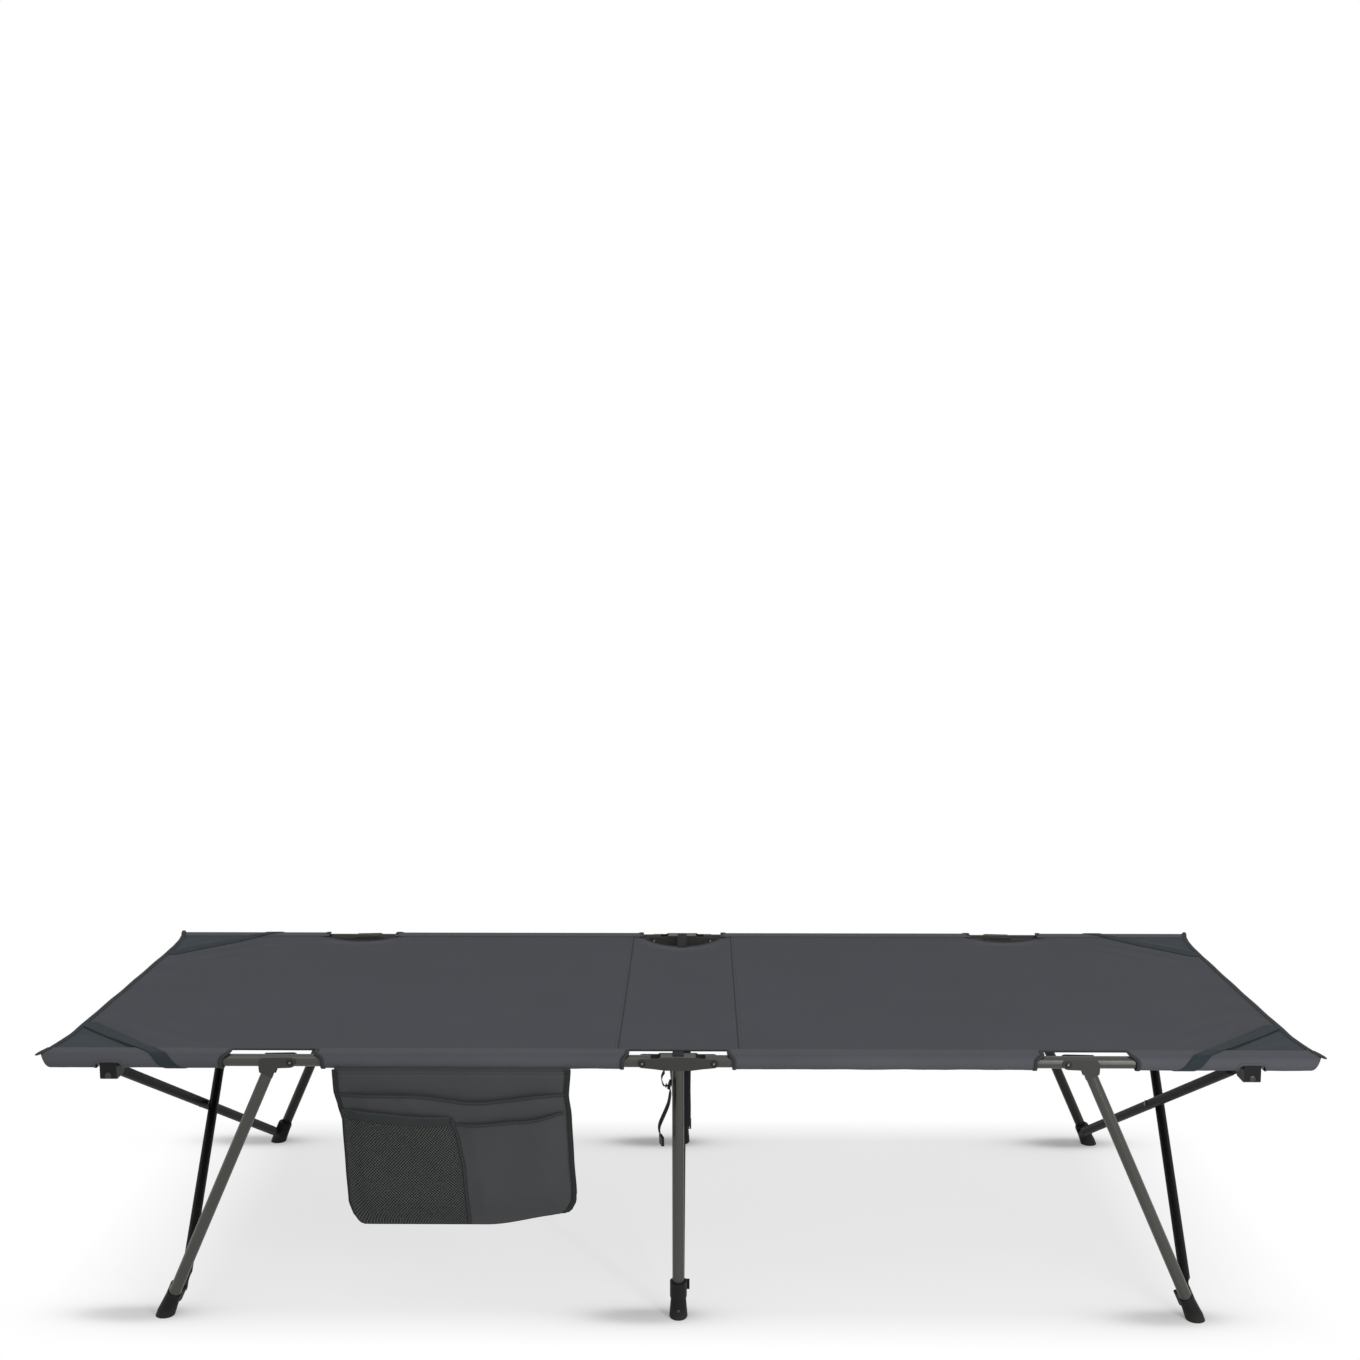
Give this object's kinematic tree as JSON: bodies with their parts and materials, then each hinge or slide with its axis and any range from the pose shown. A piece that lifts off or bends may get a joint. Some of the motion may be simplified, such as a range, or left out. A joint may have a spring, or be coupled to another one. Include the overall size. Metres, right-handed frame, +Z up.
{
  "type": "folding camp cot",
  "caption": "Folding camp cot: taut fabric deck sleeved on hinged side rails, splayed end legs with crossed struts, centre legs and a hanging side organiser.",
  "frame": {"origin": "on the ground under the middle of the deck", "axes": "+X along the cot to the right, +Y to the side away from the organiser, +Z up"},
  "size_m": [1.898, 0.6875, 0.4132],
  "materials": {
    "near_centre_leg_tube": "satin gunmetal powder coat",
    "near_head_bracket": "satin light grey coat",
    "near_head_rivet_left": "zinc plated",
    "near_head_rivet_right": "zinc plated",
    "near_leg_collar": "moulded black",
    "near_centre_foot": "moulded black",
    "centre_deck_panel": "woven polyester",
    "pack_strap": "woven webbing",
    "pack_strap_end": "woven webbing",
    "far_centre_leg_tube": "satin gunmetal powder coat",
    "far_head_bracket": "satin light grey coat",
    "far_head_rivet_left": "zinc plated",
    "far_head_rivet_right": "zinc plated",
    "far_leg_collar": "moulded black",
    "far_centre_foot": "moulded black",
    "low_near_brace": "satin black coat",
    "low_far_brace": "satin black coat",
    "high_near_brace": "satin black coat",
    "high_far_brace": "satin black coat",
    "near_left_rail_tube": "satin gunmetal powder coat",
    "near_left_strut_yoke": "moulded black",
    "left_deck_panel": "woven polyester",
    "near_left_corner_strap": "woven webbing",
    "far_left_corner_strap": "woven webbing",
    "side_organiser": "woven polyester and mesh",
    "near_left_leg_tube": "satin gunmetal powder coat",
    "near_left_leg_bracket": "satin light grey coat",
    "near_left_leg_rivet": "zinc plated",
    "near_left_foot": "moulded black",
    "near_left_strut_swivel": "zinc plated",
    "near_left_end_strut": "satin black coat",
    "left_crossing_rivet": "zinc plated",
    "near_right_rail_tube": "satin gunmetal powder coat",
    "near_right_strut_yoke": "moulded black",
    "right_deck_panel": "woven polyester",
    "near_right_corner_strap": "woven webbing",
    "far_right_corner_strap": "woven webbing",
    "near_right_leg_tube": "satin gunmetal powder coat",
    "near_right_leg_bracket": "satin light grey coat",
    "near_right_leg_rivet": "zinc plated",
    "near_right_foot": "moulded black",
    "near_right_strut_swivel": "zinc plated",
    "near_right_end_strut": "satin black coat",
    "right_crossing_rivet": "zinc plated",
    "far_left_rail_tube": "satin gunmetal powder coat",
    "far_left_strut_yoke": "moulded black",
    "far_left_leg_tube": "satin gunmetal powder coat",
    "far_left_leg_bracket": "satin light grey coat",
    "far_left_leg_rivet": "zinc plated",
    "far_left_foot": "moulded black",
    "far_left_strut_swivel": "zinc plated",
    "far_left_end_strut": "satin black coat",
    "far_right_rail_tube": "satin gunmetal powder coat",
    "far_right_strut_yoke": "moulded black",
    "far_right_leg_tube": "satin gunmetal powder coat",
    "far_right_leg_bracket": "satin light grey coat",
    "far_right_leg_rivet": "zinc plated",
    "far_right_foot": "moulded black",
    "far_right_strut_swivel": "zinc plated",
    "far_right_end_strut": "satin black coat"
  },
  "bodies": {
    "centre_frame": {"near_centre_leg_tube": "near_centre_leg_tube", "near_head_bracket": "near_head_bracket", "near_head_rivet_left": "near_head_rivet_left", "near_head_rivet_right": "near_head_rivet_right", "near_leg_collar": "near_leg_collar", "near_centre_foot": "near_centre_foot", "centre_deck_panel": "centre_deck_panel", "pack_strap": "pack_strap", "pack_strap_end": "pack_strap_end"},
    "far_centre_frame": {"far_centre_leg_tube": "far_centre_leg_tube", "far_head_bracket": "far_head_bracket", "far_head_rivet_left": "far_head_rivet_left", "far_head_rivet_right": "far_head_rivet_right", "far_leg_collar": "far_leg_collar", "far_centre_foot": "far_centre_foot"},
    "low_near_brace": {"low_near_brace": "low_near_brace"},
    "low_far_brace": {"low_far_brace": "low_far_brace"},
    "high_near_brace": {"high_near_brace": "high_near_brace"},
    "high_far_brace": {"high_far_brace": "high_far_brace"},
    "near_left_rail": {"near_left_rail_tube": "near_left_rail_tube", "near_left_strut_yoke": "near_left_strut_yoke", "left_deck_panel": "left_deck_panel", "near_left_corner_strap": "near_left_corner_strap", "far_left_corner_strap": "far_left_corner_strap", "side_organiser": "side_organiser"},
    "near_left_leg": {"near_left_leg_tube": "near_left_leg_tube", "near_left_leg_bracket": "near_left_leg_bracket", "near_left_leg_rivet": "near_left_leg_rivet", "near_left_foot": "near_left_foot"},
    "near_left_swivel": {"near_left_strut_swivel": "near_left_strut_swivel"},
    "near_left_strut": {"near_left_end_strut": "near_left_end_strut", "left_crossing_rivet": "left_crossing_rivet"},
    "near_right_rail": {"near_right_rail_tube": "near_right_rail_tube", "near_right_strut_yoke": "near_right_strut_yoke", "right_deck_panel": "right_deck_panel", "near_right_corner_strap": "near_right_corner_strap", "far_right_corner_strap": "far_right_corner_strap"},
    "near_right_leg": {"near_right_leg_tube": "near_right_leg_tube", "near_right_leg_bracket": "near_right_leg_bracket", "near_right_leg_rivet": "near_right_leg_rivet", "near_right_foot": "near_right_foot"},
    "near_right_swivel": {"near_right_strut_swivel": "near_right_strut_swivel"},
    "near_right_strut": {"near_right_end_strut": "near_right_end_strut", "right_crossing_rivet": "right_crossing_rivet"},
    "far_left_rail": {"far_left_rail_tube": "far_left_rail_tube", "far_left_strut_yoke": "far_left_strut_yoke"},
    "far_left_leg": {"far_left_leg_tube": "far_left_leg_tube", "far_left_leg_bracket": "far_left_leg_bracket", "far_left_leg_rivet": "far_left_leg_rivet", "far_left_foot": "far_left_foot"},
    "far_left_swivel": {"far_left_strut_swivel": "far_left_strut_swivel"},
    "far_left_strut": {"far_left_end_strut": "far_left_end_strut"},
    "far_right_rail": {"far_right_rail_tube": "far_right_rail_tube", "far_right_strut_yoke": "far_right_strut_yoke"},
    "far_right_leg": {"far_right_leg_tube": "far_right_leg_tube", "far_right_leg_bracket": "far_right_leg_bracket", "far_right_leg_rivet": "far_right_leg_rivet", "far_right_foot": "far_right_foot"},
    "far_right_swivel": {"far_right_strut_swivel": "far_right_strut_swivel"},
    "far_right_strut": {"far_right_end_strut": "far_right_end_strut"}
  },
  "joints": [
    {"name": "near_left_rail_fold", "type": "hinge", "parent": "centre_frame", "child": "near_left_rail", "pos_m": [-0.053, -0.32, 0.4], "axis": [0, -1, 0], "range_deg": [0, 60]},
    {"name": "near_left_leg_fold", "type": "hinge", "parent": "near_left_rail", "child": "near_left_leg", "pos_m": [-0.574, -0.32, 0.4], "axis": [0, -1, 0], "range_deg": [0, 112.77]},
    {"name": "near_left_swivel_turn", "type": "hinge", "parent": "near_left_rail", "child": "near_left_swivel", "pos_m": [-0.84395, -0.2919, 0.38], "axis": [0, -1, 0], "range_deg": [0, 76.17]},
    {"name": "near_left_strut_close", "type": "hinge", "parent": "near_left_swivel", "child": "near_left_strut", "pos_m": [-0.84395, -0.2919, 0.38], "axis": [-0.9754, 0, -0.2205], "range_deg": [0, 56.75]},
    {"name": "near_right_rail_fold", "type": "hinge", "parent": "centre_frame", "child": "near_right_rail", "pos_m": [0.053, -0.32, 0.4], "axis": [0, 1, 0], "range_deg": [0, 60]},
    {"name": "near_right_leg_fold", "type": "hinge", "parent": "near_right_rail", "child": "near_right_leg", "pos_m": [0.574, -0.32, 0.4], "axis": [0, 1, 0], "range_deg": [0, 112.77]},
    {"name": "near_right_swivel_turn", "type": "hinge", "parent": "near_right_rail", "child": "near_right_swivel", "pos_m": [0.84395, -0.2919, 0.38], "axis": [0, 1, 0], "range_deg": [0, 76.17]},
    {"name": "near_right_strut_close", "type": "hinge", "parent": "near_right_swivel", "child": "near_right_strut", "pos_m": [0.84395, -0.2919, 0.38], "axis": [-0.9754, 0, 0.2205], "range_deg": [0, 56.75]},
    {"name": "low_near_brace_fold", "type": "hinge", "parent": "centre_frame", "child": "low_near_brace", "pos_m": [0, -0.2919, 0.045], "axis": [1, 0, 0], "range_deg": [0, 58.7], "deforming": ["left_deck_panel", "centre_deck_panel", "right_deck_panel", "near_left_corner_strap", "far_left_corner_strap", "near_right_corner_strap", "far_right_corner_strap", "side_organiser"]},
    {"name": "low_knee", "type": "hinge", "parent": "low_near_brace", "child": "low_far_brace", "pos_m": [0, 0, 0.21047], "axis": [-1, 0, 0], "range_deg": [0, 117.4]},
    {"name": "far_frame_level", "type": "hinge", "parent": "low_far_brace", "child": "far_centre_frame", "pos_m": [0, 0.2919, 0.045], "axis": [1, 0, 0], "range_deg": [0, 58.7]},
    {"name": "high_near_brace_fold", "type": "hinge", "parent": "centre_frame", "child": "high_near_brace", "pos_m": [0, -0.2919, 0.389], "axis": [-1, 0, 0], "range_deg": [0, 58.7]},
    {"name": "high_far_brace_fold", "type": "hinge", "parent": "far_centre_frame", "child": "high_far_brace", "pos_m": [0, 0.2919, 0.389], "axis": [1, 0, 0], "range_deg": [0, 58.7]},
    {"name": "far_left_rail_fold", "type": "hinge", "parent": "far_centre_frame", "child": "far_left_rail", "pos_m": [-0.053, 0.32, 0.4], "axis": [0, -1, 0], "range_deg": [0, 60]},
    {"name": "far_left_leg_fold", "type": "hinge", "parent": "far_left_rail", "child": "far_left_leg", "pos_m": [-0.574, 0.32, 0.4], "axis": [0, -1, 0], "range_deg": [0, 112.77]},
    {"name": "far_left_swivel_turn", "type": "hinge", "parent": "far_left_rail", "child": "far_left_swivel", "pos_m": [-0.84395, 0.2919, 0.38], "axis": [0, -1, 0], "range_deg": [0, 76.17]},
    {"name": "far_left_strut_close", "type": "hinge", "parent": "far_left_swivel", "child": "far_left_strut", "pos_m": [-0.84395, 0.2919, 0.38], "axis": [0.9754, 0, 0.2205], "range_deg": [0, 56.75]},
    {"name": "far_right_rail_fold", "type": "hinge", "parent": "far_centre_frame", "child": "far_right_rail", "pos_m": [0.053, 0.32, 0.4], "axis": [0, 1, 0], "range_deg": [0, 60]},
    {"name": "far_right_leg_fold", "type": "hinge", "parent": "far_right_rail", "child": "far_right_leg", "pos_m": [0.574, 0.32, 0.4], "axis": [0, 1, 0], "range_deg": [0, 112.77]},
    {"name": "far_right_swivel_turn", "type": "hinge", "parent": "far_right_rail", "child": "far_right_swivel", "pos_m": [0.84395, 0.2919, 0.38], "axis": [0, 1, 0], "range_deg": [0, 76.17]},
    {"name": "far_right_strut_close", "type": "hinge", "parent": "far_right_swivel", "child": "far_right_strut", "pos_m": [0.84395, 0.2919, 0.38], "axis": [0.9754, 0, -0.2205], "range_deg": [0, 56.75]}
  ],
  "couplings": [
    {"joint": "near_left_leg_fold", "follows": "low_near_brace_fold", "ratio": 1.9211},
    {"joint": "near_left_swivel_turn", "follows": "low_near_brace_fold", "ratio": 1.2976},
    {"joint": "near_left_strut_close", "follows": "low_near_brace_fold", "ratio": 0.96667},
    {"joint": "near_right_leg_fold", "follows": "low_near_brace_fold", "ratio": 1.9211},
    {"joint": "near_right_swivel_turn", "follows": "low_near_brace_fold", "ratio": 1.2976},
    {"joint": "near_right_strut_close", "follows": "low_near_brace_fold", "ratio": 0.96667},
    {"joint": "low_knee", "follows": "low_near_brace_fold", "ratio": 2},
    {"joint": "far_frame_level", "follows": "low_near_brace_fold", "ratio": 1},
    {"joint": "high_near_brace_fold", "follows": "low_near_brace_fold", "ratio": 1},
    {"joint": "high_far_brace_fold", "follows": "low_near_brace_fold", "ratio": 1},
    {"joint": "far_left_rail_fold", "follows": "near_left_rail_fold", "ratio": 1},
    {"joint": "far_left_leg_fold", "follows": "low_near_brace_fold", "ratio": 1.9211},
    {"joint": "far_left_swivel_turn", "follows": "low_near_brace_fold", "ratio": 1.2976},
    {"joint": "far_left_strut_close", "follows": "low_near_brace_fold", "ratio": 0.96667},
    {"joint": "far_right_rail_fold", "follows": "near_right_rail_fold", "ratio": 1},
    {"joint": "far_right_leg_fold", "follows": "low_near_brace_fold", "ratio": 1.9211},
    {"joint": "far_right_swivel_turn", "follows": "low_near_brace_fold", "ratio": 1.2976},
    {"joint": "far_right_strut_close", "follows": "low_near_brace_fold", "ratio": 0.96667}
  ]
}
